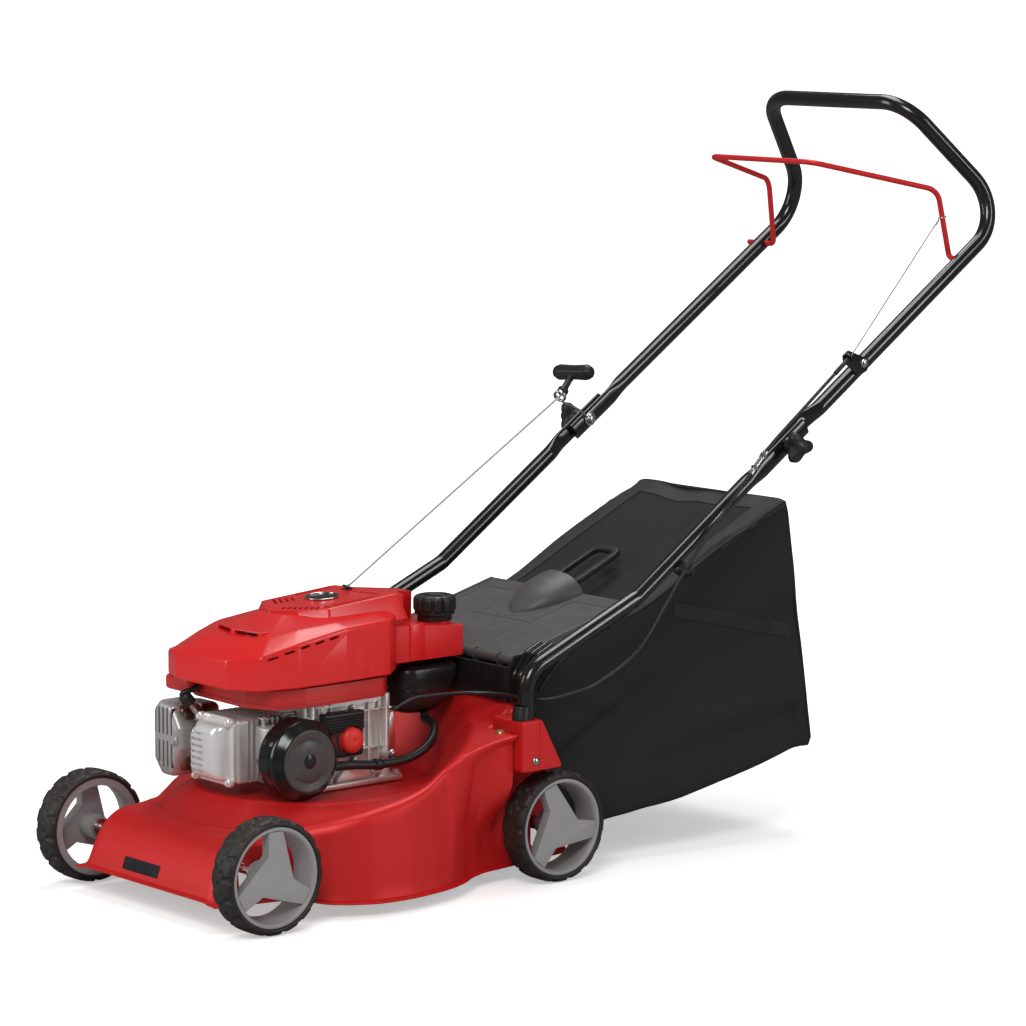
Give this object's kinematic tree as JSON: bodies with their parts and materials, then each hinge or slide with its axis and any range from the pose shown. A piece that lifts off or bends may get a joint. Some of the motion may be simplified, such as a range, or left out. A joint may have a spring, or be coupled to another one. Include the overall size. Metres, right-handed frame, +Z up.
{
  "type": "petrol lawn mower",
  "caption": "Walk-behind petrol lawn mower with a red steel deck, side-valve look engine cowl, fold-down handle, brake bail and rear cloth grass bag.",
  "frame": {"origin": "on the ground, at the middle of the mower's length and width", "axes": "+Z up, -Y towards the front of the mower, +X towards the operator's left"},
  "size_m": [0.5144, 1.3692, 1.0243],
  "materials": {
    "deck_paint": "gloss red paint",
    "cowl_plastic": "gloss red moulding",
    "shroud": "dark red satin paint",
    "bail_paint": "gloss red paint",
    "primer": "soft red",
    "handle_paint": "gloss black paint",
    "black_plastic": "matt black",
    "black_cable": "black sheath",
    "flap_plastic": "dark grey",
    "bag_cloth": "black woven cloth",
    "tyre": "matt black",
    "wheel_plastic": "satin grey",
    "casting": "cast, matt silver",
    "steel": "zinc plated",
    "guard": "pressed sheet",
    "foam": "foam",
    "rope": "grey cord"
  },
  "bodies": {
    "chassis": {"deck_shell": "deck_paint", "handle_socket_left": "deck_paint", "handle_socket_right": "deck_paint", "lower_handle_left": "handle_paint", "lower_handle_right": "handle_paint", "handle_bolt_left": "steel", "handle_bolt_right": "steel", "crankcase": "casting", "cylinder": "casting", "rocker_cover": "casting", "muffler": "guard", "muffler_guard": "guard", "spark_plug": "steel", "spark_plug_boot": "black_plastic", "blower_housing": "shroud", "engine_cowl": "cowl_plastic", "fuel_tank": "black_plastic", "carburettor": "casting", "air_filter_base": "black_plastic", "air_filter_cover": "black_plastic", "filter_element": "foam", "vent_hose": "black_cable", "flap_mount": "flap_plastic", "rope_guide": "steel", "starter_rope": "rope", "brake_cable": "black_cable"},
    "front_axle": {"axle_front": "steel"},
    "rear_axle": {"axle_rear": "steel"},
    "crank": {"crankshaft": "steel", "flywheel": "casting", "blade_hub": "casting", "blade": "steel", "blade_bolt": "steel"},
    "rod": {"connecting_rod": "steel"},
    "piston": {"piston": "casting"},
    "recoil": {"recoil_pulley": "black_plastic"},
    "grip": {"starter_grip": "black_plastic"},
    "handle": {"upper_handle": "handle_paint", "cable_bracket": "handle_paint", "brake_wire": "steel"},
    "bail": {"bail": "bail_paint"},
    "knob_left": {"wing_knob_left": "black_plastic"},
    "knob_right": {"wing_knob_right": "black_plastic"},
    "lever": {"brake_lever": "steel"},
    "flap": {"flap": "flap_plastic"},
    "grass_bag": {"bag": "bag_cloth", "bag_frame": "black_plastic", "bag_handle": "black_plastic"},
    "fuel_cap": {"fuel_cap": "black_plastic"},
    "oil_cap": {"oil_cap": "black_plastic"},
    "primer": {"primer_bulb": "primer"},
    "wheel_front_left": {"wheel_front_left": "wheel_plastic", "tyre_front_left": "tyre"},
    "wheel_front_right": {"wheel_front_right": "wheel_plastic", "tyre_front_right": "tyre"},
    "wheel_rear_left": {"wheel_rear_left": "wheel_plastic", "tyre_rear_left": "tyre"},
    "wheel_rear_right": {"wheel_rear_right": "wheel_plastic", "tyre_rear_right": "tyre"}
  },
  "joints": [
    {"name": "front_height", "type": "slide", "parent": "chassis", "child": "front_axle", "axis": [0, 0, 1], "range_m": [-0.03, 0]},
    {"name": "front_left_wheel", "type": "hinge", "parent": "front_axle", "child": "wheel_front_left", "pos_m": [0.199, -0.6096, 0.075], "axis": [1, 0, 0], "continuous": true},
    {"name": "front_right_wheel", "type": "hinge", "parent": "front_axle", "child": "wheel_front_right", "pos_m": [-0.199, -0.6096, 0.075], "axis": [1, 0, 0], "continuous": true},
    {"name": "rear_height", "type": "slide", "parent": "chassis", "child": "rear_axle", "axis": [0, 0, 1], "range_m": [-0.03, 0]},
    {"name": "rear_left_wheel", "type": "hinge", "parent": "rear_axle", "child": "wheel_rear_left", "pos_m": [0.199, -0.1371, 0.075], "axis": [1, 0, 0], "continuous": true},
    {"name": "rear_right_wheel", "type": "hinge", "parent": "rear_axle", "child": "wheel_rear_right", "pos_m": [-0.199, -0.1371, 0.075], "axis": [1, 0, 0], "continuous": true},
    {"name": "crank_spin", "type": "hinge", "parent": "chassis", "child": "crank", "pos_m": [0, -0.3846, 0.199], "axis": [0, 0, 1], "continuous": true},
    {"name": "rod_swing", "type": "hinge", "parent": "crank", "child": "rod", "pos_m": [0, -0.4046, 0.199], "axis": [0, 0, 1], "continuous": true},
    {"name": "piston_stroke", "type": "slide", "parent": "chassis", "child": "piston", "axis": [0, 1, 0], "range_m": [0, 0.04]},
    {"name": "grip_pull", "type": "slide", "parent": "chassis", "child": "grip", "axis": [0, 0.6, 0.8], "range_m": [0, 0.55], "stiffness_N_per_m": 20, "springref_m": -0.5, "deforming": ["starter_rope"]},
    {"name": "recoil_spin", "type": "hinge", "parent": "chassis", "child": "recoil", "pos_m": [0, -0.3846, 0.337], "axis": [0, 0, -1], "range_deg": [0, 1110]},
    {"name": "handle_fold", "type": "hinge", "parent": "chassis", "child": "handle", "pos_m": [0, 0.2684, 0.554], "axis": [1, 0, 0], "range_deg": [0, 120], "deforming": ["brake_cable"]},
    {"name": "bail_squeeze", "type": "hinge", "parent": "handle", "child": "bail", "pos_m": [0, 0.6164, 0.793], "axis": [-1, 0, 0], "range_deg": [0, 30], "stiffness_Nm_per_rad": 0.3, "springref_deg": -34.38, "deforming": ["brake_wire"]},
    {"name": "brake_lever_swing", "type": "hinge", "parent": "chassis", "child": "lever", "pos_m": [0.0891, -0.3246, 0.178], "axis": [-1, 0, 0], "range_deg": [0, 30]},
    {"name": "knob_left_turn", "type": "hinge", "parent": "chassis", "child": "knob_left", "pos_m": [0.2188, 0.2684, 0.554], "axis": [1, 0, 0], "continuous": true},
    {"name": "knob_right_turn", "type": "hinge", "parent": "chassis", "child": "knob_right", "pos_m": [-0.2188, 0.2684, 0.554], "axis": [-1, 0, 0], "continuous": true},
    {"name": "flap_lift", "type": "hinge", "parent": "chassis", "child": "flap", "pos_m": [0, -0.1546, 0.29], "axis": [1, 0, 0], "range_deg": [0, 45], "stiffness_Nm_per_rad": 0.8, "springref_deg": -34.38},
    {"name": "bag_draw", "type": "slide", "parent": "chassis", "child": "grass_bag", "axis": [0, 1, 0], "range_m": [0, 0.45]},
    {"name": "fuel_cap_turn", "type": "hinge", "parent": "chassis", "child": "fuel_cap", "pos_m": [0.02, -0.1956, 0.3441], "axis": [0, 0, 1], "range_deg": [0, 180]},
    {"name": "oil_cap_turn", "type": "hinge", "parent": "chassis", "child": "oil_cap", "pos_m": [-0.0803, -0.3596, 0.19], "axis": [-1, 0, 0], "range_deg": [0, 180]},
    {"name": "primer_press", "type": "slide", "parent": "chassis", "child": "primer", "axis": [-1, 0, 0], "range_m": [0, 0.005], "stiffness_N_per_m": 300}
  ],
  "couplings": [
    {"joint": "rod_swing", "follows": "crank_spin", "ratio": -1},
    {"joint": "recoil_spin", "follows": "grip_pull", "rad_per_m": 35},
    {"joint": "brake_lever_swing", "follows": "bail_squeeze", "ratio": 1}
  ]
}
